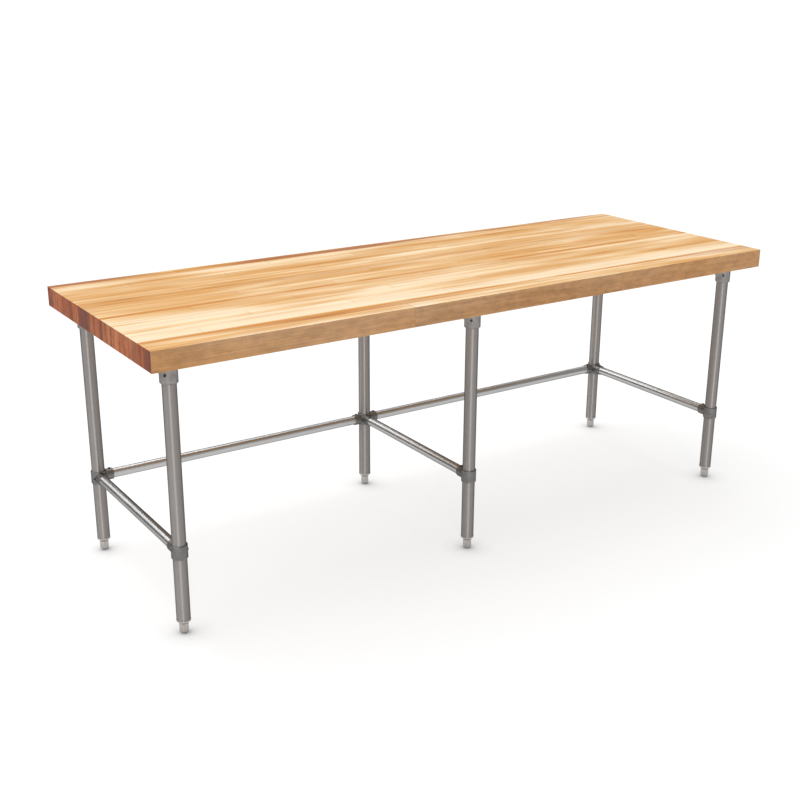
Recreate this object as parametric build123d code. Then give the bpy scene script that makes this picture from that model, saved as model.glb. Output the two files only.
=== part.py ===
from build123d import *
import math
import os

# Butcher block table: a laminated maple block on six tubular legs.
# Millimetres. +X runs along the block, -Y is the front and +Z is up.
# The origin is on the floor under the middle of the block.

# ---- The block
top_length = 2133.6
top_depth = 762.0
top_thickness = 57.15
top_height = 819.15          # floor to work surface, with the feet wound fully in
stave_count = 18             # strips glued edge to edge across the depth
board_length = 760.0         # usual length of the boards laid end to end in a stave
shortest_board = 150.0
joint_stagger = 0.618        # share of a board by which the joints move on at each stave
edge_radius = 1.6

# ---- Where the legs stand
end_inset = 76.2             # end leg axis to the end of the block
side_inset = 82.55           # leg axis to the front or back edge of the block
middle_leg_offset = -50.8    # the middle pair stands left of centre

# ---- Leg tubes
leg_diameter = 38.1
leg_wall = 1.6
tube_end_chamfer = 0.4

# ---- Fits, all radial
slip_clearance = 0.1         # tube in a socket or sleeve
press_clearance = 0.02       # insert in a leg tube
thread_clearance = 0.08      # foot stem in its insert, and every set screw in its hole
pilot_clearance = 0.05       # wood screw in the block

# ---- Leg sockets: a plate with a cup below it
plate_thickness = 4.8
plate_corner_radius = 12.0
plate_margin = 6.5           # screw head to the plate's edge
cup_wall = 4.7
cup_depth = 52.0             # below the plate
cup_root_radius = 3.0        # between cup and plate, and round the plate's lower corners
cup_lip_chamfer = 1.6
screw_to_cup = 9.0           # screw head to the cup's side

# ---- Wood screws through the plates
wood_screw_diameter = 4.8
wood_screw_length = 32.0     # under the head
wood_screw_point = 8.0       # length of the tapered end
wood_screw_tip_diameter = 0.6
wood_screw_head_diameter = 9.5
wood_screw_head_height = 3.2
wood_screw_crown = 1.9       # radius of the head's rim
wood_screw_hole = 5.6        # in the plate
recess_width = 1.3
recess_depth = 1.8
recess_span = 5.2

# ---- Set screws
set_screw_diameter = 7.9
set_screw_proud = 2.4        # beyond the wall it is screwed through
set_screw_tip_gap = 0.05     # to the tube that it locks
set_screw_key = 4.0          # hexagonal recess, across flats
set_screw_key_depth = 3.0
set_screw_chamfer = 0.7
socket_screw_drop = 27.0     # set screw axis below the plate
socket_screw_headings = (135.0, 225.0)

# ---- Braces near the floor
brace_height = 241.3         # floor to the rails' axes
sleeve_length = 38.1
sleeve_wall = 3.2
sleeve_chamfer = 0.8
rail_diameter = 28.575
rail_wall = 1.5
rail_socket_wall = 3.1
rail_socket_depth = 21.3     # how far a rail goes into its socket
rail_socket_floor = 2.4      # metal between a rail's end and the sleeve's bore
rail_socket_chamfer = 0.8
rail_screw_inset = 9.0       # rail set screw to the socket's mouth
front_screw_heading = 0.0    # which way the screw that locks a sleeve to its leg faces
back_screw_heading = 225.0

# ---- Foot inserts and bullet feet
insert_plug_length = 28.0
insert_collar_overhang = 0.65  # beyond the leg's side
insert_collar_height = 4.0
insert_taper_height = 6.6
insert_lower_diameter = 26.2
foot_gap = 0.3               # foot to insert, when wound fully in
foot_height = 30.0
foot_across_flats = 23.8
foot_top_diameter = 23.4
foot_top_chamfer = 2.2
foot_sole_diameter = 19.0
foot_sole_height = 8.0
stem_diameter = 12.7
stem_length = 62.0           # above the foot's hexagon
stem_chamfer = 1.2

# ---- Values that follow from those above
underside = top_height - top_thickness
leg_top = underside - plate_thickness
insert_bottom = foot_height + foot_gap
leg_bottom = insert_bottom + insert_taper_height + insert_collar_height
leg_radius = leg_diameter / 2
leg_bore_radius = leg_radius - leg_wall
collar_radius = leg_radius + insert_collar_overhang
cup_bore_radius = leg_radius + slip_clearance
cup_radius = cup_bore_radius + cup_wall
sleeve_bore_radius = leg_radius + slip_clearance
sleeve_radius = sleeve_bore_radius + sleeve_wall
rail_radius = rail_diameter / 2
rail_bore_radius = rail_radius + slip_clearance
rail_socket_radius = rail_bore_radius + rail_socket_wall
rail_stop = sleeve_bore_radius + rail_socket_floor
rail_socket_reach = rail_stop + rail_socket_depth
rail_screw_reach = rail_socket_reach - rail_screw_inset
set_screw_radius = set_screw_diameter / 2
set_screw_hole_radius = set_screw_radius + thread_clearance
stave_width = top_depth / stave_count
screw_circle_radius = cup_radius + screw_to_cup + wood_screw_head_diameter / 2
screw_offset = screw_circle_radius / math.sqrt(2)
plate_side = 2 * (screw_offset + wood_screw_head_diameter / 2 + plate_margin)

columns = {
    "left": -top_length / 2 + end_inset,
    "middle": middle_leg_offset,
    "right": top_length / 2 - end_inset,
}
rows = {
    "front": -top_depth / 2 + side_inset,
    "back": top_depth / 2 - side_inset,
}
heading_of = {"left": 180.0, "front": 270.0, "right": 0.0, "back": 90.0}
back_sockets = {
    "left": ("front", "right"),
    "middle": ("front", "left", "right"),
    "right": ("front", "left"),
}


def rod(radius, low, high, chamfered=0.0):
    """A cylinder about Z from low to high, with both rims chamfered if asked."""
    body = Pos(0, 0, (low + high) / 2) * Cylinder(radius, high - low)
    return chamfer(body.edges(), chamfered) if chamfered else body


def along(heading, solid):
    """Turns a solid that points along +Z until it points level, at a heading in degrees."""
    return Rot(0, 0, heading) * Rot(0, 90, 0) * solid


def legs():
    """Each leg's name, column, row and place."""
    for row, y in rows.items():
        for column, x in columns.items():
            yield f"{row}_{column}", column, row, Pos(x, y, 0)


def screw_places():
    """The four wood screws about a leg's axis."""
    return [(sx * screw_offset, sy * screw_offset) for sx in (-1, 1) for sy in (-1, 1)]


# ---- The block's staves

def board_ends(stave):
    """Where the boards of a stave begin and end, along the block."""
    first = board_length * ((stave * joint_stagger) % 1.0)
    places = [first + step * board_length for step in range(math.ceil(top_length / board_length))]
    inner = [x for x in places if shortest_board < x < top_length - shortest_board]
    return [x - top_length / 2 for x in [0.0, *inner, top_length]]


def block_blank():
    """The whole block with its edges eased, which each board is cut from."""
    blank = Pos(0, 0, underside + top_thickness / 2) * Box(top_length, top_depth, top_thickness)
    return fillet(blank.edges(), edge_radius)


def pilot_holes():
    """Holes for the wood screws, as (x, y, solid)."""
    tip = leg_top + wood_screw_length + pilot_clearance
    drill = wood_screw_blank(wood_screw_diameter / 2 + pilot_clearance, tip, underside)
    return [
        (place.position.X + x, place.position.Y + y, place * Pos(x, y, 0) * drill)
        for _, _, _, place in legs()
        for x, y in screw_places()
    ]


def stave(number, blank, holes):
    """One strip of the block: boards laid end to end, with the screw holes that reach it."""
    low = -top_depth / 2 + number * stave_width
    ends = board_ends(number)
    boards = []
    for start, stop in zip(ends, ends[1:]):
        cutter = Pos((start + stop) / 2, low + stave_width / 2, underside + top_thickness / 2)
        board = blank & (cutter * Box(stop - start, stave_width, top_thickness))
        for x, y, hole in holes:
            near_x = start - wood_screw_diameter < x < stop + wood_screw_diameter
            near_y = low - wood_screw_diameter < y < low + stave_width + wood_screw_diameter
            if near_x and near_y:
                board -= hole
        boards += board.solids()
    return boards


# ---- Sockets, screws and leg tubes

def wood_screw_blank(radius, tip, low):
    """A shank about Z with a conical point, from low up to its tip."""
    shoulder = tip - wood_screw_point
    shank = Pos(0, 0, (low + shoulder) / 2) * Cylinder(radius, shoulder - low)
    middle = Pos(0, 0, (shoulder + tip) / 2)
    point = middle * Cone(radius, wood_screw_tip_diameter / 2, wood_screw_point)
    return shank + point


def wood_screw():
    """A pan head screw that points up, with its head against the plate."""
    head_radius = wood_screw_head_diameter / 2
    head = rod(head_radius, leg_top - wood_screw_head_height, leg_top)
    rim = head.edges().group_by(Axis.Z)[0]
    head = fillet(rim, wood_screw_crown)
    depth = Pos(0, 0, leg_top - wood_screw_head_height + recess_depth / 2)
    head -= depth * Box(recess_span, recess_width, recess_depth)
    head -= depth * Box(recess_width, recess_span, recess_depth)
    return head + wood_screw_blank(wood_screw_diameter / 2, leg_top + wood_screw_length, leg_top)


def set_screw(inner, outer):
    """A grub screw about Z from its tip at inner to its keyed end at outer."""
    body = rod(set_screw_radius, inner, outer, set_screw_chamfer)
    key = RegularPolygon(set_screw_key / 2, 6, major_radius=False)
    return body - Pos(0, 0, outer - set_screw_key_depth) * extrude(key, set_screw_key_depth)


def leg_socket():
    """The plate under the block and the cup that holds a leg's top end."""
    plate = Box(plate_side, plate_side, plate_thickness)
    plate = fillet(plate.edges().filter_by(Axis.Z), plate_corner_radius)
    plate = Pos(0, 0, leg_top + plate_thickness / 2) * plate
    cup_mouth = leg_top - cup_depth
    cup = rod(cup_radius, cup_mouth, leg_top)
    cup = chamfer(cup.edges().group_by(Axis.Z)[0], cup_lip_chamfer)
    body = plate + cup
    root = body.edges().filter_by(GeomType.CIRCLE).filter_by_position(Axis.Z, leg_top, leg_top)
    body = fillet(root, cup_root_radius)
    body -= rod(cup_bore_radius, cup_mouth, leg_top)
    for x, y in screw_places():
        body -= Pos(x, y, 0) * rod(wood_screw_hole / 2, leg_top, underside)
    drill = rod(set_screw_hole_radius, 0, cup_radius + set_screw_proud)
    for heading in socket_screw_headings:
        body -= Pos(0, 0, leg_top - socket_screw_drop) * along(heading, drill)
    return body


def socket_set_screws():
    """The screws that lock a leg in its socket."""
    inner = leg_radius + set_screw_tip_gap
    screw = set_screw(inner, cup_radius + set_screw_proud)
    height = Pos(0, 0, leg_top - socket_screw_drop)
    return [height * along(heading, screw) for heading in socket_screw_headings]


def tube(radius, wall, low, high):
    """A round tube about Z with its outer rims broken."""
    return rod(radius, low, high, tube_end_chamfer) - rod(radius - wall, low, high)


# ---- Braces

def sockets_on(column, row):
    """The sides of a leg that carry a rail."""
    return ("back",) if row == "front" else back_sockets[column]


def brace_fitting(column, row):
    """The sleeve round a leg, with a socket for each rail that meets it."""
    half = sleeve_length / 2
    drill = rod(set_screw_hole_radius, 0, rail_socket_reach)
    body = rod(sleeve_radius, -half, half, sleeve_chamfer)
    for side in sockets_on(column, row):
        arm = rod(rail_socket_radius, 0, rail_socket_reach)
        arm = chamfer(arm.edges().group_by(Axis.Z)[-1], rail_socket_chamfer)
        body += along(heading_of[side], arm)
    for side in sockets_on(column, row):
        bore = rod(rail_bore_radius, rail_stop, rail_socket_reach)
        body -= along(heading_of[side], bore)
        body -= Rot(0, 0, heading_of[side]) * Pos(rail_screw_reach, 0, 0) * drill
    body -= rod(sleeve_bore_radius, -rail_socket_reach, rail_socket_reach)
    body -= along(sleeve_screw_heading(row), drill)
    return Pos(0, 0, brace_height) * body


def sleeve_screw_heading(row):
    return front_screw_heading if row == "front" else back_screw_heading


def brace_set_screws(column, row):
    """One screw against the leg, and one against each rail from above."""
    screws = [along(sleeve_screw_heading(row), leg_lock_screw(row))]
    rail_lock = set_screw(rail_radius + set_screw_tip_gap, rail_socket_radius + set_screw_proud)
    for side in sockets_on(column, row):
        screws.append(Rot(0, 0, heading_of[side]) * Pos(rail_screw_reach, 0, 0) * rail_lock)
    return [Pos(0, 0, brace_height) * screw for screw in screws]


def leg_lock_screw(row):
    """On the back legs the screw comes out where two rail sockets meet, so it is longer."""
    corner = rail_socket_radius * math.sqrt(2)
    wall = sleeve_radius if row == "front" else max(sleeve_radius, corner)
    return set_screw(leg_radius + set_screw_tip_gap, wall + set_screw_proud)


def cross_rail(column):
    """A rail from the front leg to the back leg."""
    rail = tube(rail_radius, rail_wall, rows["front"] + rail_stop, rows["back"] - rail_stop)
    return Pos(columns[column], 0, brace_height) * along(heading_of["back"], rail)


def rear_rail(start, stop):
    """A rail along the back, between two neighbouring legs."""
    rail = tube(rail_radius, rail_wall, columns[start] + rail_stop, columns[stop] - rail_stop)
    return Pos(0, rows["back"], brace_height) * along(heading_of["right"], rail)


# ---- Feet

def turned(points):
    """A solid of revolution about Z from (radius, height) points."""
    return revolve(make_face(Plane.XZ * Polyline(*points, close=True)), Axis.Z)


def foot_insert():
    """The threaded plug in a leg's lower end, with a collar and a taper below it."""
    collar_bottom = leg_bottom - insert_collar_height
    plug_top = leg_bottom + insert_plug_length
    outline = [
        (stem_diameter / 2 + thread_clearance, insert_bottom),
        (insert_lower_diameter / 2, insert_bottom),
        (collar_radius, collar_bottom),
        (collar_radius, leg_bottom),
        (leg_bore_radius - press_clearance, leg_bottom),
        (leg_bore_radius - press_clearance, plug_top),
        (stem_diameter / 2 + thread_clearance, plug_top),
    ]
    return turned(outline)


def bullet_foot():
    """A hexagonal foot that narrows to its sole, with the stem that it turns on."""
    corner = foot_across_flats / math.sqrt(3)
    hexagon = extrude(RegularPolygon(foot_across_flats / 2, 6, major_radius=False), foot_height)
    outline = [
        (0, 0),
        (foot_sole_diameter / 2, 0),
        (corner, foot_sole_height),
        (corner, foot_height - foot_top_chamfer),
        (foot_top_diameter / 2, foot_height),
        (0, foot_height),
    ]
    stem = rod(stem_diameter / 2, foot_height, foot_height + stem_length)
    stem = chamfer(stem.edges().group_by(Axis.Z)[-1], stem_chamfer)
    return (hexagon & turned(outline)) + stem


# ---- The whole table

def build():
    """Every node's name with its list of solids."""
    nodes = {}
    blank = block_blank()
    holes = pilot_holes()
    for number in range(stave_count):
        nodes[f"stave_{number + 1:02d}"] = stave(number, blank, holes)

    socket = leg_socket()
    leg = tube(leg_radius, leg_wall, leg_bottom, leg_top)
    insert = foot_insert()
    foot = bullet_foot()
    flange_screws = [Pos(x, y, 0) * wood_screw() for x, y in screw_places()]
    nodes["flange_screws"] = []
    nodes["socket_set_screws"] = []
    nodes["brace_set_screws"] = []
    for name, column, row, place in legs():
        nodes[f"leg_socket_{name}"] = [place * socket]
        nodes[f"leg_{name}"] = [place * leg]
        nodes[f"brace_fitting_{name}"] = [place * brace_fitting(column, row)]
        nodes[f"foot_insert_{name}"] = [place * insert]
        nodes[f"foot_{name}"] = [place * foot]
        nodes["flange_screws"] += [place * screw for screw in flange_screws]
        nodes["socket_set_screws"] += [place * screw for screw in socket_set_screws()]
        nodes["brace_set_screws"] += [place * screw for screw in brace_set_screws(column, row)]

    for column in columns:
        nodes[f"cross_rail_{column}"] = [cross_rail(column)]
    nodes["rear_rail_left"] = [rear_rail("left", "middle")]
    nodes["rear_rail_right"] = [rear_rail("middle", "right")]
    return nodes


os.makedirs("parts", exist_ok=True)
for node, solids in build().items():
    shape = solids[0] if len(solids) == 1 else Compound(children=solids)
    export_step(shape, f"parts/{node}.step")
    print(node, len(solids))
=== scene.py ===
import math

import bmesh
import bpy
from mathutils import Matrix, Vector


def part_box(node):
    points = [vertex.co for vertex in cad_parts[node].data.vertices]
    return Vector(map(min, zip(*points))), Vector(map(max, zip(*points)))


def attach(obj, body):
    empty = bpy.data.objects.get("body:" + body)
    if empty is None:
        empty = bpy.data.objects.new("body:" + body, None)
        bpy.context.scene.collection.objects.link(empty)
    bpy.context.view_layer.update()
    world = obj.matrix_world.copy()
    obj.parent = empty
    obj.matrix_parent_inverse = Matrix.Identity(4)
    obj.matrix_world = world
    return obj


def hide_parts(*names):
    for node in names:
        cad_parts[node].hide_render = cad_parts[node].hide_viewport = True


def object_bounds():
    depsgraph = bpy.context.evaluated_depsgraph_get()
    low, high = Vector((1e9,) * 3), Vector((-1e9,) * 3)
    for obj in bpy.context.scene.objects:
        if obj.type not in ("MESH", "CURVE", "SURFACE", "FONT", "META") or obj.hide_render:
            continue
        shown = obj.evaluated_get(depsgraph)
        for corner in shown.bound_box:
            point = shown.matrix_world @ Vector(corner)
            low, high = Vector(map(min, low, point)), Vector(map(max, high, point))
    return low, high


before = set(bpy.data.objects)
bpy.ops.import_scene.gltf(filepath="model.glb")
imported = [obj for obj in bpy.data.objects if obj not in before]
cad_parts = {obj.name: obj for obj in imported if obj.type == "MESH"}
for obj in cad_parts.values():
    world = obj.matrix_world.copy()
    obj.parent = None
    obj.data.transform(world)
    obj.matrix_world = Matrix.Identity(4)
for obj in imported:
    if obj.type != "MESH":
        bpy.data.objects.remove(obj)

# The butcher block table: materials for the CAD's pieces, threaded feet in place of its plain
# ones, and a plain studio. Metres, in the same frame as the CAD.

CAD_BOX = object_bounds()
MM = 0.001

# ---- Camera, on a 36 mm sensor. Its angles are in degrees.
LENS = 54.2
HEADING = 33.51                     # to the right of +Y
DROP = 19.26                        # below the horizon
LEAN = -0.255                       # about its own axis
CAMERA_PLACE = (-2.081, -2.987, 1.655)
FARTHEST_SEEN = 1000.0

# ---- Light. Headings are in degrees from +X.
SUN_STRENGTH = 2.95
SUN_ANGLE = 70.0                    # a wide disc, as a large softbox gives
SUN_TILT = (-20.0, -16.0)           # about X and Y, degrees
STRIP_STRENGTH = 0.70               # a low light from the camera's side, for lines down the tubes
STRIP_ANGLE = 9.0
STRIP_HEADING, STRIP_RISE = 243.0, 12.0
BRIGHT_WALL_HEADING = 237.0         # that wall is a reflector, the one across is dark
DARK_WALL, BRIGHT_WALL, CEILING = 0.07, 0.60, 0.46

# ---- Floor
FLOOR_REACH = 200.0
FLOOR_CLEARANCE = 0.2 * MM          # below the feet
FLOOR_TONE, FLOOR_GLOW = 0.27, 0.72
CONTACT_REACH = 0.075               # how far from a foot the floor's glow is darkened, a painted contact shadow

# ---- Maple, as linear colours
CREAM = (0.94, 0.760, 0.530)
PALE = (0.83, 0.575, 0.310)
WHEAT = (0.745, 0.445, 0.195)
HONEY = (0.69, 0.360, 0.115)
AMBER = (0.54, 0.225, 0.055)
RUSSET = (0.36, 0.120, 0.050)
SEAM = (0.33, 0.140, 0.045)
RESIN = (0.60, 0.245, 0.045)
# The next colour is painted shade on the block's underside, darker than the wood is
SHADED_UNDERSIDE = (0.24, 0.150, 0.095)
SIDE_GRAIN_AND_SHADE = (0.475, 0.248, 0.105)  # the block's long faces: their grain, made darker than the top as painted shade
END_GRAIN_AND_SHADE = (0.385, 0.150, 0.070)   # what end grain does to those colours, with painted shade darkening them further
DARK_END = (0.105, 0.022, 0.014)
TONE_STOPS = [(0.08, CREAM), (0.34, PALE), (0.56, WHEAT), (0.80, HONEY), (1.0, AMBER)]
TONE_OFFSET = -1.47                 # brings the noises' sum down to the stops' range

# ---- How strips differ from their neighbours, by number from the front
USUAL_TONE = 0.03
# A higher tone is further towards AMBER
TONES = {1: 0.06, 2: 0.06, 3: -0.34, 4: -0.24, 5: -0.02, 8: -0.02, 10: 0.13, 11: 0.20, 12: 0.24, 18: 0.16}
HIGHLIGHTED_STRIPS = range(2, 11)             # strips given a painted highlight: paler towards the left end
HIGHLIGHT_START, HIGHLIGHT_END = -1.0, -0.5  # along X: the painted highlight is full before the first, gone past the second
USUAL_HEARTWOOD = 0.08
HEARTWOOD = {18: 0.85, 2: 0.40, 12: 0.25}
# The share of DARK_END in a strip's ends
DARK_ENDS = {1: 0.50, 5: 0.22, 6: 0.08, 9: 0.34, 10: 0.10, 11: 0.58, 12: 0.62, 16: 0.12, 17: 0.20, 18: 0.28}
USUAL_SEAM = 0.28
DARK_SEAMS = {8: 0.55, 2: 0.40, 10: 0.36, 12: 0.45}  # the glue line behind a strip
# How far back across its strip each amber line runs, and how far it fades out to each side
RESIN_LINES = {8: (1.0, 17.0 * MM), 9: (0.0, 17.0 * MM), 2: (0.69, 9.0 * MM)}

# ---- The wood's growth rings, and where boards meet end to end
RING_SPACING = 4.6 * MM
LEAST_END_AREA = 300.0 * MM * MM    # a smaller face across X is part of a screw hole
BLOCK_END_MARGIN = 0.05             # nearer than this to the block's end, a face is that end

# ---- Feet
FOOT_HEIGHT = 30.0 * MM
FOOT_TOP_RADIUS = 11.7 * MM
FOOT_TOP_ROUND = 0.2 * MM
SHOULDER_HEIGHT = 2.2 * MM          # the chamfer between the hexagon and the top
SUPPORT_DROP = 3.5 * MM             # below the top, a ring that keeps the hexagon's sides flat
SOLE_RADIUS = 9.5 * MM
SOLE_ROUND = 0.9 * MM
SOLE_ROUND_IN, SOLE_ROUND_UP = 0.3 * MM, 0.25 * MM  # its middle, from the side and from the floor
SOLE_HEIGHT = 8.0 * MM              # the rounded part below the hexagon
STEM_RADIUS = 6.35 * MM
STEM_CHAMFER = 1.2 * MM
CHAMFER_SLOPE = 0.9                 # inwards for each unit of height
THREAD_PITCH = 1.954 * MM
THREAD_DEPTH = 1.05 * MM
THREAD_RUNOUT = 1.5                 # turns over which the thread fades out above the foot
GROOVE_SHARE = 0.42                 # half of the groove's width, in turns
THREAD_STEPS = 10                   # rings of points to a turn
ROUND = 96                          # points round the foot and the stem
SHARP_EDGE = 28.0                   # degrees between two faces from which their edge stays sharp


# ================================================================ Shader nodes

class Shade:
    """Adds nodes to a tree and links them. A value is a number, a tuple or another node's socket."""

    def __init__(self, tree):
        self.tree = tree

    def feed(self, socket, value):
        if isinstance(value, bpy.types.NodeSocket):
            self.tree.links.new(value, socket)
        else:
            socket.default_value = value

    def add(self, kind, inputs=None, **settings):
        node = self.tree.nodes.new("ShaderNode" + kind)
        for key, value in settings.items():
            setattr(node, key, value)
        for key, value in (inputs or {}).items():
            self.feed(node.inputs[key], value)
        return node

    def math(self, operation, a, b=0.0):
        return self.add("Math", {0: a, 1: b}, operation=operation).outputs[0]

    def vector(self, operation, a, b):
        return self.add("VectorMath", {0: a, 1: b}, operation=operation).outputs[0]

    def dot(self, a, b):
        return self.add("VectorMath", {0: a, 1: b}, operation="DOT_PRODUCT").outputs["Value"]

    def length(self, vector):
        return self.add("VectorMath", {0: vector}, operation="LENGTH").outputs["Value"]

    def place(self):
        """Where a point is on its piece, in metres."""
        return self.add("TexCoord").outputs["Object"]

    def split(self, vector):
        return self.add("SeparateXYZ", {0: vector}).outputs

    def join(self, x, y, z):
        return self.add("CombineXYZ", {0: x, 1: y, 2: z}).outputs[0]

    def noise(self, place, stretch, detail=2.0, roughness=0.5):
        """Noise whose cells are 1/stretch metres along each axis."""
        scaled = self.vector("MULTIPLY", place, stretch)
        inputs = {"Vector": scaled, "Scale": 1.0, "Detail": detail, "Roughness": roughness}
        return self.add("TexNoise", inputs).outputs[0]

    def draw(self, x, y, z):
        """A random number and three more, the same wherever x, y and z are the same."""
        node = self.add("TexWhiteNoise", {"Vector": self.join(x, y, z)}, noise_dimensions="3D")
        return node.outputs["Value"], node.outputs["Color"]

    def ease(self, value, low, high, start=0.0, end=1.0):
        """Goes smoothly from start to end while value goes from low to high."""
        inputs = {"Value": value, "From Min": low, "From Max": high, "To Min": start, "To Max": end}
        return self.add("MapRange", inputs, interpolation_type="SMOOTHSTEP").outputs[0]

    def mix(self, amount, a, b, how="MIX"):
        node = self.add("Mix", data_type="RGBA", blend_type=how)
        self.feed(node.inputs[0], amount)
        for socket, value in ((node.inputs[6], a), (node.inputs[7], b)):
            self.feed(socket, (*value, 1.0) if isinstance(value, tuple) else value)
        return node.outputs[2]

    def ramp(self, value, stops):
        node = self.add("ValToRGB", {0: value})
        elements = node.color_ramp.elements
        while len(elements) < len(stops):
            elements.new(0.5)
        for element, (position, colour) in zip(elements, stops):
            element.position = position
            element.color = (*colour, 1.0)
        return node.outputs[0]

    def bump(self, height, distance, strength=1.0):
        return self.add("Bump", {"Height": height, "Distance": distance, "Strength": strength}).outputs[0]

    def edges(self, radius):
        """1 near a sharp edge, 0 on open faces."""
        rounded = self.add("Bevel", {"Radius": radius}, samples=4).outputs[0]
        true = self.add("NewGeometry").outputs["True Normal"]
        return self.ease(self.dot(rounded, true), 0.995, 0.90)

    def shaded(self, colour, brightness):
        """A colour made lighter or darker by a number near 1."""
        return self.mix(1.0, colour, self.join(brightness, brightness, brightness), "MULTIPLY")


def new_material(name, **constants):
    """A material with a Principled surface. Constants go straight onto the surface's sockets."""
    material = bpy.data.materials.new(name)
    material.use_nodes = True
    tree = material.node_tree
    surface = next(n for n in tree.nodes if n.type == "BSDF_PRINCIPLED")
    for socket, value in constants.items():
        surface.inputs[socket.replace("_", " ")].default_value = value
    return material, Shade(tree), surface


def finish_surface(shade, surface, colour, roughness, normal):
    shade.feed(surface.inputs["Base Color"], colour)
    shade.feed(surface.inputs["Roughness"], roughness)
    shade.feed(surface.inputs["Normal"], normal)


# ================================================================ Materials

def growth_rings(shade, place, draws, spacing):
    """Thin late-wood lines of rings about a pith that is in a different place for each board."""
    _, y, z = shade.split(place)
    pick_y, pick_z, _ = shade.split(draws)
    wander = shade.noise(place, (0.9, 7.0, 7.0), 1.0)
    wander = shade.math("MULTIPLY", shade.math("SUBTRACT", wander, 0.5), 0.035)
    across = shade.math("ADD", y, shade.math("MULTIPLY", shade.math("SUBTRACT", pick_y, 0.5), 0.5))
    up = shade.math("SUBTRACT", z, shade.math("ADD", shade.math("MULTIPLY", pick_z, 0.35), 0.55))
    flat = shade.join(0.0, across, up)
    turns = shade.math("DIVIDE", shade.math("ADD", shade.length(flat), wander), spacing)
    saw = shade.math("FRACT", turns)
    return shade.math("MULTIPLY", shade.ease(saw, 0.45, 0.93), shade.ease(saw, 1.0, 0.95))


class Strip:
    """One strip of the block, and the fields that its colours and its skin are made from."""

    def __init__(self, shade, number, low, high, joints):
        self.shade, self.number, self.joints = shade, number, joints
        self.low, self.high = low, high
        self.place = shade.place()
        self.x, self.y, _ = shade.split(self.place)
        board = 0.0
        for joint in joints:
            board = shade.math("ADD", board, shade.math("GREATER_THAN", self.x, joint))
        self.pick, draws = shade.draw(number * 1.7, board, 3.0)
        self.along_tree = shade.vector("ADD", self.place, shade.vector("MULTIPLY", draws, (9.0, 4.0, 4.0)))
        self.along_strip = shade.vector("ADD", self.place, (number * 3.1, number * 0.7, 0.0))
        self.fine = shade.noise(self.along_tree, (5.0, 320.0, 320.0), 2.0, 0.6)
        self.hair = shade.noise(self.along_tree, (30.0, 1500.0, 1500.0), 1.0)
        self.pores = shade.noise(self.place, (900.0, 900.0, 900.0), 2.0)
        self.late = growth_rings(shade, self.place, draws, RING_SPACING)


def long_grain(strip):
    """The colour along the boards: patches, streaks, late wood, flecks, veins and heartwood, and on some
    strips a painted highlight towards the left end.
    """
    shade, number = strip.shade, strip.number
    patch = shade.noise(strip.place, (2.3, 15.0, 3.0), 2.5)
    long_streak = shade.noise(strip.along_strip, (0.75, 48.0, 30.0), 2.0)
    streak = shade.noise(strip.along_tree, (1.8, 120.0, 90.0), 2.0)
    tone = TONES.get(number, USUAL_TONE) + TONE_OFFSET
    heart = shade.ease(shade.noise(strip.along_strip, (1.6, 34.0, 34.0), 3.0), 0.40, 0.58)
    heart = shade.math("MULTIPLY", heart, HEARTWOOD.get(number, USUAL_HEARTWOOD))
    # Painted highlight: these strips are paler, with less heartwood, towards the left end
    if number in HIGHLIGHTED_STRIPS:
        tone = shade.math("SUBTRACT", tone, shade.ease(strip.x, HIGHLIGHT_START, HIGHLIGHT_END, 0.17, 0.0))
        heart = shade.math("MULTIPLY", heart, shade.ease(strip.x, HIGHLIGHT_START, HIGHLIGHT_END, 0.30, 1.0))
    for part, share in ((strip.pick, 0.15), (patch, 1.75), (long_streak, 1.15), (streak, 0.75)):
        tone = shade.math("ADD", tone, shade.math("MULTIPLY", part, share))
    colour = shade.ramp(tone, TONE_STOPS)
    colour = shade.mix(shade.math("MULTIPLY", strip.late, 0.16), colour, HONEY)
    colour = shade.shaded(colour, shade.ease(strip.fine, 0.30, 0.72, 1.07, 0.88))
    flecks = shade.math("MULTIPLY", shade.ease(strip.hair, 0.66, 0.80), 0.22)
    colour = shade.mix(flecks, colour, AMBER)
    vein = shade.ease(shade.noise(strip.along_strip, (0.9, 170.0, 60.0), 1.0), 0.60, 0.74, 0.0, 0.55)
    colour = shade.mix(vein, colour, AMBER)
    return shade.mix(heart, colour, RUSSET)


def amber_line(strip, colour):
    """Adds the line of resin along a strip that has one, stronger in some stretches."""
    if strip.number not in RESIN_LINES:
        return colour
    shade = strip.shade
    share, spread = RESIN_LINES[strip.number]
    line = strip.low + (strip.high - strip.low) * share
    offset = shade.math("ABSOLUTE", shade.math("SUBTRACT", strip.y, line))
    patchy = shade.ease(shade.noise(strip.place, (2.6, 0.0, 0.0), 2.0), 0.36, 0.54, 0.25, 1.0)
    resin = shade.math("MULTIPLY", shade.ease(offset, 3.0 * MM, spread, 1.0, 0.0), patchy)
    return shade.mix(resin, colour, RESIN)


def side_grain_and_shade(strip):
    """The duller, rippled colour of the block's front and back: their grain, darkened as painted shade."""
    shade = strip.shade
    ripple = shade.ease(shade.noise(strip.along_tree, (6.0, 1.0, 110.0), 3.0), 0.35, 0.65, 0.88, 1.09)
    ripple = shade.math("SUBTRACT", ripple, shade.math("MULTIPLY", strip.late, 0.13))
    of_board = shade.math("MULTIPLY", shade.math("SUBTRACT", strip.pick, 0.5), 0.22)
    ripple = shade.math("ADD", ripple, of_board)
    mottle = shade.noise(strip.along_tree, (26.0, 1.0, 55.0), 4.0, 0.65)
    ripple = shade.math("ADD", ripple, shade.ease(mottle, 0.34, 0.64, -0.20, 0.16))
    return shade.shaded(SIDE_GRAIN_AND_SHADE, ripple)


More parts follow.
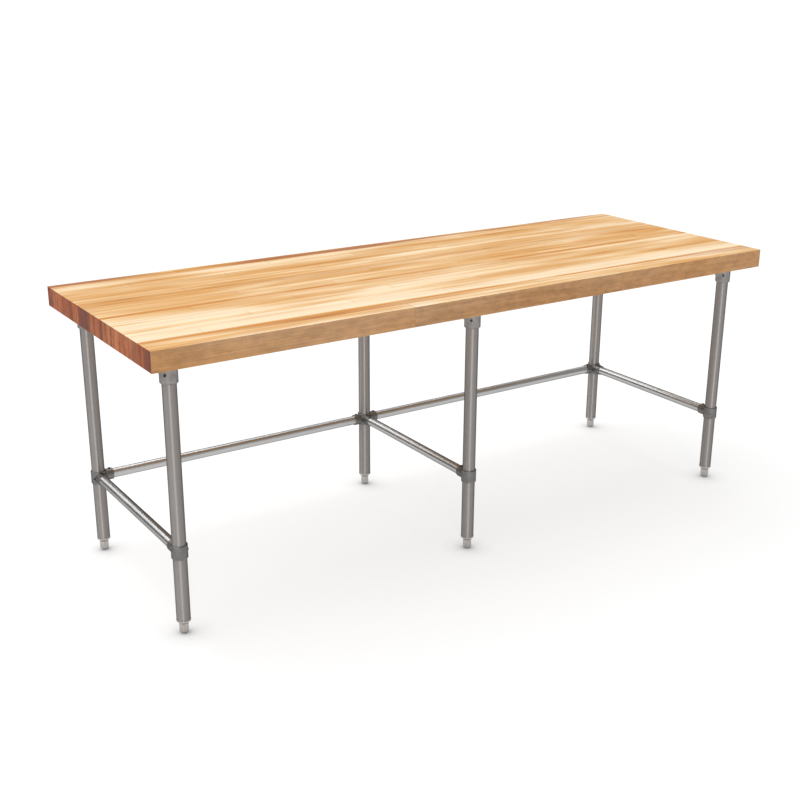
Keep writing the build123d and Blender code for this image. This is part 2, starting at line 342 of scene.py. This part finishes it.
def end_grain_and_shade(strip, colour):
    """A strip's colour on the block's ends: darker and redder as end grain is, and darker still as painted
    shade, with ring arcs and pores.
    """
    shade = strip.shade
    arcs = shade.math("MULTIPLY", strip.late, -0.22)
    blotch = shade.ease(shade.noise(strip.place, (2.0, 95.0, 7.0), 3.0), 0.3, 0.7, -0.08, 0.62)
    blotch = shade.math("ADD", blotch, shade.math("MULTIPLY", strip.pick, 0.22))
    depth = shade.math("ADD", shade.math("ADD", arcs, blotch), shade.ease(strip.pores, 0.3, 0.7, 0.80, 0.60))
    strip_pick, _ = shade.draw(strip.number * 2.3, 5.0, 1.0)
    depth = shade.math("ADD", depth, shade.ease(strip_pick, 0.0, 1.0, -0.26, 0.26))
    # End grain's own darkening, deepened with painted shade
    end = shade.shaded(shade.mix(1.0, colour, END_GRAIN_AND_SHADE, "MULTIPLY"), depth)
    return shade.mix(DARK_ENDS.get(strip.number, 0.0), end, DARK_END)


def glue_lines(strip):
    """How dark the lines are to the strips in front and behind and where boards meet; 0 elsewhere."""
    shade = strip.shade
    in_front = DARK_SEAMS.get(strip.number - 1, USUAL_SEAM)
    behind = DARK_SEAMS.get(strip.number, USUAL_SEAM)
    from_front = shade.math("SUBTRACT", strip.y, strip.low)
    from_back = shade.math("SUBTRACT", strip.high, strip.y)
    seam = shade.math(
        "MAXIMUM",
        shade.ease(from_front, 0.1 * MM, 0.9 * MM, in_front, 0.0),
        shade.ease(from_back, 0.1 * MM, 0.9 * MM, behind, 0.0),
    )
    for joint in strip.joints:
        offset = shade.math("ABSOLUTE", shade.math("SUBTRACT", strip.x, joint))
        seam = shade.math("MAXIMUM", seam, shade.ease(offset, 0.3 * MM, 1.3 * MM, 0.6, 0.0))
    return seam


def maple(number, low, high, joints):
    """One strip of the block: pale maple in long streaks, a tone to each board, dark end grain, with painted
    shade on its sides, ends and underside and a painted highlight on some strips.
    """
    material, shade, surface = new_material(f"maple_{number:02d}", IOR=1.33)
    strip = Strip(shade, number, low, high, joints)
    facing = shade.split(shade.add("NewGeometry").outputs["True Normal"])
    is_side = shade.ease(shade.math("ABSOLUTE", facing[1]), 0.6, 0.9, 0.0, 0.82)
    is_under = shade.ease(facing[2], -0.6, -0.9, 0.0, 0.60)
    is_end = shade.ease(shade.math("ABSOLUTE", facing[0]), 0.6, 0.9)
    seam = glue_lines(strip)

    colour = amber_line(strip, long_grain(strip))
    # Painted shade: the front and back take the darker side colour
    colour = shade.mix(is_side, colour, side_grain_and_shade(strip))
    # Painted shade: the underside is darkened
    colour = shade.mix(is_under, colour, SHADED_UNDERSIDE)
    # The ends: end grain, with painted shade
    colour = shade.mix(is_end, colour, end_grain_and_shade(strip, colour))
    colour = shade.mix(seam, colour, SEAM)

    roughness = shade.ease(strip.fine, 0.2, 0.8, 0.34, 0.48)
    roughness = shade.math("ADD", roughness, shade.math("MULTIPLY", is_end, 0.18))
    height = shade.math("MULTIPLY", strip.hair, 0.35)
    height = shade.math("ADD", height, shade.math("MULTIPLY", strip.fine, 0.5))
    height = shade.math("SUBTRACT", height, shade.math("MULTIPLY", strip.late, 0.3))
    height = shade.math("SUBTRACT", height, shade.math("MULTIPLY", seam, 0.8))
    open_pores = shade.math("MULTIPLY", strip.pores, is_end)
    height = shade.math("ADD", height, shade.math("MULTIPLY", open_pores, 0.6))
    finish_surface(shade, surface, colour, roughness, shade.bump(height, 0.12 * MM, 0.6))
    return material


def brushed_steel(name, colour, roughness, axis, lines, mottling):
    """Tube steel, ground in fine lines round the tube, with the slow mottling of mill finish."""
    material, shade, surface = new_material(
        name, Metallic=1.0, Anisotropic=0.80, Anisotropic_Rotation=0.25,
        Specular_Tint=(0.10, 0.10, 0.10, 1.0),
    )
    round_it = shade.add("Tangent", direction_type="RADIAL", axis=axis).outputs[0]
    shade.feed(surface.inputs["Tangent"], round_it)
    place = shade.place()
    stretch = [18.0, 18.0, 18.0]
    stretch["XYZ".index(axis)] = lines
    rings = shade.noise(place, tuple(stretch), 3.0, 0.6)
    slow = [26.0, 26.0, 26.0]
    slow["XYZ".index(axis)] = 5.0
    cloud = shade.noise(place, tuple(slow), 3.0)
    spots = shade.noise(place, (420.0, 420.0, 420.0), 2.0)
    value = shade.math("ADD", shade.ease(rings, 0.3, 0.7, -mottling / 2, mottling / 2), 1.0)
    value = shade.math("ADD", value, shade.ease(cloud, 0.3, 0.7, -mottling, mottling))
    value = shade.math("SUBTRACT", value, shade.ease(spots, 0.66, 0.8, 0.0, mottling * 1.5))
    tinted = shade.shaded(colour, value)
    rough = shade.ease(rings, 0.3, 0.7, roughness - mottling * 0.6, roughness + mottling * 0.6)
    rough = shade.math("ADD", rough, shade.ease(cloud, 0.3, 0.7, -0.03, 0.05))
    finish_surface(shade, surface, tinted, rough, shade.bump(rings, 0.01 * MM, mottling * 3.0))
    return material


def cast_metal(name, colour, roughness, grit, worn):
    """Cast fitting: a sandy skin with darker hollows, worn brighter along its edges."""
    material, shade, surface = new_material(name, Metallic=0.9, Specular_Tint=(0.25, 0.25, 0.25, 1.0))
    place = shade.place()
    skin = shade.noise(place, (grit, grit, grit), 4.0, 0.6)
    cloud = shade.noise(place, (70.0, 70.0, 70.0), 3.0)
    value = shade.ease(skin, 0.3, 0.7, 0.84, 1.12)
    value = shade.math("ADD", value, shade.ease(cloud, 0.3, 0.7, -0.12, 0.12))
    tinted = shade.shaded(colour, value)
    rub = shade.math("MULTIPLY", shade.edges(0.6 * MM), shade.ease(cloud, 0.35, 0.6, 0.25, 0.8))
    tinted = shade.mix(rub, tinted, worn)
    rough = shade.ease(skin, 0.3, 0.7, roughness - 0.06, roughness + 0.08)
    rough = shade.math("SUBTRACT", rough, shade.math("MULTIPLY", rub, 0.12))
    finish_surface(shade, surface, tinted, rough, shade.bump(skin, 0.25 * MM, 0.55))
    return material


def turned_metal(name, colour, roughness, worn):
    """Machined steel with faint tool marks round the Z axis and bright edges."""
    material, shade, surface = new_material(name, Metallic=1.0)
    place = shade.place()
    marks = shade.noise(place, (60.0, 60.0, 1800.0), 2.0)
    cloud = shade.noise(place, (120.0, 120.0, 120.0), 3.0)
    value = shade.ease(marks, 0.3, 0.7, 0.95, 1.04)
    value = shade.math("ADD", value, shade.ease(cloud, 0.3, 0.7, -0.09, 0.07))
    tinted = shade.shaded(colour, value)
    rub = shade.math("MULTIPLY", shade.edges(0.5 * MM), 0.5)
    tinted = shade.mix(rub, tinted, worn)
    rough = shade.ease(marks, 0.3, 0.7, roughness - 0.04, roughness + 0.06)
    rough = shade.math("ADD", rough, shade.ease(cloud, 0.3, 0.7, -0.02, 0.05))
    finish_surface(shade, surface, tinted, rough, shade.bump(marks, 0.03 * MM, 0.4))
    return material


def black_oxide(name):
    """The dark, slightly oily finish of set screws, rubbed bright along its edges."""
    material, shade, surface = new_material(name, Metallic=0.8)
    place = shade.place()
    skin = shade.noise(place, (700.0, 700.0, 700.0), 3.0)
    colour = shade.mix(shade.ease(skin, 0.3, 0.7), (0.045, 0.045, 0.048), (0.085, 0.082, 0.08))
    rub = shade.math("MULTIPLY", shade.edges(0.3 * MM), 0.6)
    colour = shade.mix(rub, colour, (0.30, 0.29, 0.28))
    rough = shade.ease(skin, 0.3, 0.7, 0.34, 0.46)
    finish_surface(shade, surface, colour, rough, shade.bump(skin, 0.04 * MM, 0.4))
    return material


def give(node, material):
    """Puts a material on a CAD node in place of its plain ones."""
    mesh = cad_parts[node].data
    if not mesh.materials:
        mesh.materials.append(material)
    for index in range(len(mesh.materials)):
        mesh.materials[index] = material


# ================================================================ The block

def board_joints(obj):
    """Where the boards of a strip meet, along X: its large faces across X, but not the two ends."""
    first = CAD_BOX[0].x + BLOCK_END_MARGIN
    last = CAD_BOX[1].x - BLOCK_END_MARGIN
    found = {
        round(face.center.x, 4)
        for face in obj.data.polygons
        if abs(face.normal.x) > 0.99 and face.area > LEAST_END_AREA
    }
    return sorted(x for x in found if first < x < last)


def dress_block():
    """Each strip gets wood of its own, from its number and where it lies."""
    for name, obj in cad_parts.items():
        if name.startswith("stave_"):
            low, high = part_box(name)
            give(name, maple(int(name[-2:]), low.y, high.y, board_joints(obj)))


# ================================================================ Tubes, fittings and screws

def dress_metal():
    """Each metal piece gets its finish by what its name starts with, the longest match first."""
    leg = brushed_steel("leg_steel", (0.355, 0.333, 0.318), 0.50, "Z", 1500.0, 0.08)
    cross = brushed_steel("cross_rail_steel", (0.52, 0.515, 0.51), 0.32, "Y", 900.0, 0.03)
    rear = brushed_steel("rear_rail_steel", (0.54, 0.54, 0.54), 0.32, "X", 900.0, 0.03)
    brace = cast_metal("brace_casting", (0.20, 0.193, 0.187), 0.44, 800.0, (0.52, 0.51, 0.50))
    socket = cast_metal("socket_casting", (0.27, 0.256, 0.246), 0.40, 900.0, (0.58, 0.57, 0.55))
    insert = turned_metal("insert_steel", (0.46, 0.445, 0.43), 0.30, (0.72, 0.71, 0.70))
    zinc = turned_metal("zinc_screws", (0.56, 0.57, 0.58), 0.28, (0.75, 0.75, 0.74))
    oxide = black_oxide("black_oxide")
    by_start = {
        "leg_socket_": socket,
        "leg_": leg,
        "brace_fitting_": brace,
        "foot_insert_": insert,
        "cross_rail_": cross,
        "rear_rail_": rear,
        "flange_screws": zinc,
        "socket_set_screws": oxide,
        "brace_set_screws": oxide,
    }
    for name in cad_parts:
        starts = [start for start in by_start if name.startswith(start)]
        if starts:
            give(name, by_start[max(starts, key=len)])


# ================================================================ Feet

def hexagon_radius(angle, across_flats):
    """Distance from the axis to a hexagon's side at an angle, with flats facing +Y and -Y."""
    sector = math.radians(60.0)
    turn = (angle + sector / 2 + math.radians(30.0)) % sector - sector / 2
    return across_flats / 2 / math.cos(turn)


def foot_rings(across_flats):
    """Rings of points for the hexagonal foot: the turned outline, cut by the hexagon."""
    corner = across_flats / math.sqrt(3.0)
    shoulder = FOOT_TOP_RADIUS
    outline = [
        (SOLE_RADIUS - SOLE_ROUND, 0.0),
        (SOLE_RADIUS - SOLE_ROUND_IN, SOLE_ROUND_UP),
        (SOLE_RADIUS, SOLE_ROUND),
        ((SOLE_RADIUS + corner) / 2, (SOLE_ROUND + SOLE_HEIGHT) / 2),
        (corner, SOLE_HEIGHT),
        (corner, FOOT_HEIGHT - SUPPORT_DROP),
        (corner, FOOT_HEIGHT - SHOULDER_HEIGHT),
        ((corner + shoulder) / 2, FOOT_HEIGHT - SHOULDER_HEIGHT / 2),
        (shoulder, FOOT_HEIGHT - FOOT_TOP_ROUND / 2),
        (shoulder - FOOT_TOP_ROUND, FOOT_HEIGHT),
    ]
    rings = []
    for radius, height in outline:
        ring = []
        for step in range(ROUND):
            angle = math.tau * step / ROUND
            reach = min(radius, hexagon_radius(angle, across_flats))
            ring.append((reach * math.cos(angle), reach * math.sin(angle), height))
        rings.append(ring)
    return rings


def thread_rings(top):
    """Rings of points for a right-hand thread that fades in above the foot, with a chamfered end."""
    bottom = FOOT_HEIGHT
    count = int((top - bottom) / THREAD_PITCH * THREAD_STEPS)
    rings = []
    for level in range(count + 1):
        height = bottom + (top - bottom) * level / count
        fade = min(1.0, (height - bottom) / (THREAD_RUNOUT * THREAD_PITCH))
        cap = STEM_RADIUS - max(0.0, STEM_CHAMFER - (top - height)) * CHAMFER_SLOPE
        ring = []
        for step in range(ROUND):
            angle = math.tau * step / ROUND
            phase = (height / THREAD_PITCH - step / ROUND) % 1.0
            groove = max(0.0, 1.0 - abs(phase - 0.5) / GROOVE_SHARE)
            reach = min(cap, STEM_RADIUS - THREAD_DEPTH * groove * fade)
            ring.append((reach * math.cos(angle), reach * math.sin(angle), height))
        rings.append(ring)
    return rings


def loft(name, rings):
    """A closed mesh through rings of equal count, its ends filled and its sharp edges kept."""
    mesh = bpy.data.meshes.new(name)
    work = bmesh.new()
    made = [[work.verts.new(point) for point in ring] for ring in rings]
    for lower, upper in zip(made, made[1:]):
        for index in range(len(lower)):
            after = (index + 1) % len(lower)
            work.faces.new((lower[index], lower[after], upper[after], upper[index]))
    work.faces.new(made[0][::-1])
    work.faces.new(made[-1])
    for face in work.faces:
        face.smooth = True
    for edge in work.edges:
        edge.smooth = edge.calc_face_angle(0.0) < math.radians(SHARP_EDGE)
    work.normal_update()
    work.to_mesh(mesh)
    work.free()
    return mesh


def build_feet():
    """A hexagonal foot on a threaded stem for each leg, riding with its levelling joint."""
    steel = turned_metal("foot_steel", (0.47, 0.445, 0.42), 0.34, (0.68, 0.66, 0.64))
    names = [name for name in sorted(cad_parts)
             if name.startswith("foot_") and not name.startswith("foot_insert_")]
    low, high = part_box(names[0])
    mesh = loft("threaded_foot", foot_rings(high.y - low.y) + thread_rings(high.z - low.z))
    mesh.materials.append(steel)
    for name in names:
        low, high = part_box(name)
        centre = (low + high) / 2
        foot = bpy.data.objects.new("threaded_" + name, mesh)
        foot.location = (centre.x, centre.y, low.z)
        bpy.context.scene.collection.objects.link(foot)
        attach(foot, name.replace("foot_", "") + "_foot")
        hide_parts(name)


# ================================================================ Studio

def build_floor():
    """A plain pale floor that runs out of sight, its glow darkened near the feet as a painted contact
    shadow.
    """
    mesh = bpy.data.meshes.new("floor")
    corners = [(x * FLOOR_REACH, y * FLOOR_REACH, 0.0) for x, y in ((-1, -1), (1, -1), (1, 1), (-1, 1))]
    mesh.from_pydata(corners, [], [(0, 1, 2, 3)])
    floor = bpy.data.objects.new("floor", mesh)
    floor.location.z = -FLOOR_CLEARANCE
    bpy.context.scene.collection.objects.link(floor)
    material, shade, surface = new_material(
        "floor", Base_Color=(FLOOR_TONE, FLOOR_TONE, FLOOR_TONE, 1.0), Specular_IOR_Level=0.0,
        Emission_Strength=FLOOR_GLOW, Roughness=0.9,
    )
    # Painted contact shadow: ambient occlusion dims the floor's glow near the feet
    openness = shade.add("AmbientOcclusion", {"Distance": CONTACT_REACH}, samples=8).outputs["AO"]
    glow = shade.ease(openness, 0.45, 1.0, 0.30, 1.0)
    shade.feed(surface.inputs["Emission Color"], shade.join(glow, glow, glow))
    mesh.materials.append(material)


def add_sun(name, strength, angle, rotation):
    light = bpy.data.objects.new(name, bpy.data.lights.new(name, "SUN"))
    light.data.energy = strength
    light.data.angle = math.radians(angle)
    light.rotation_euler = rotation
    bpy.context.scene.collection.objects.link(light)


def build_light():
    """A softbox overhead and a low strip light."""
    tilt_x, tilt_y = (math.radians(angle) for angle in SUN_TILT)
    add_sun("softbox", SUN_STRENGTH, SUN_ANGLE, (tilt_x, tilt_y, 0.0))
    around, rise = math.radians(STRIP_HEADING), math.radians(STRIP_RISE)
    source = Vector((math.cos(around) * math.cos(rise), math.sin(around) * math.cos(rise), math.sin(rise)))
    add_sun("strip_light", STRIP_STRENGTH, STRIP_ANGLE, source.to_track_quat("Z", "Y").to_euler())


def build_world():
    """What the metal reflects: a bright wall behind the camera, a dark one across, a grey ceiling."""
    world = bpy.data.worlds.new("studio")
    bpy.context.scene.world = world
    world.use_nodes = True
    shade = Shade(world.node_tree)
    direction = shade.add("TexCoord").outputs["Generated"]
    heading = math.radians(BRIGHT_WALL_HEADING)
    toward = (math.cos(heading), math.sin(heading), 0.0)
    walls = shade.ease(shade.dot(direction, toward), -0.25, 0.85, DARK_WALL, BRIGHT_WALL)
    rise = shade.ease(shade.split(direction)[2], 0.15, 0.65)
    glow = shade.math("ADD", walls, shade.math("MULTIPLY", rise, shade.math("SUBTRACT", CEILING, walls)))
    background = next(n for n in world.node_tree.nodes if n.type == "BACKGROUND")
    shade.feed(background.inputs["Color"], shade.join(glow, glow, glow))
    background.inputs["Strength"].default_value = 1.0


def build_camera():
    """At the viewing angle of the picture that the table is matched to."""
    heading, drop, lean = (math.radians(angle) for angle in (HEADING, DROP, LEAN))
    level_share = math.cos(drop)
    forward = Vector((level_share * math.sin(heading), level_share * math.cos(heading), -math.sin(drop)))
    level = forward.cross(Vector((0, 0, 1))).normalized()
    down = forward.cross(level)
    right = math.cos(lean) * level + math.sin(lean) * down
    down = math.cos(lean) * down - math.sin(lean) * level
    turn = Matrix((right, -down, -forward)).transposed()
    camera = bpy.data.objects.new("camera", bpy.data.cameras.new("camera"))
    camera.data.lens = LENS
    camera.data.clip_end = FARTHEST_SEEN
    camera.matrix_world = Matrix.Translation(CAMERA_PLACE) @ turn.to_4x4()
    bpy.context.scene.collection.objects.link(camera)
    bpy.context.scene.camera = camera
    bpy.context.scene.view_settings.view_transform = "Standard"


build_camera()
build_light()
build_world()
build_floor()
dress_block()
dress_metal()
build_feet()

bpy.context.view_layer.update()
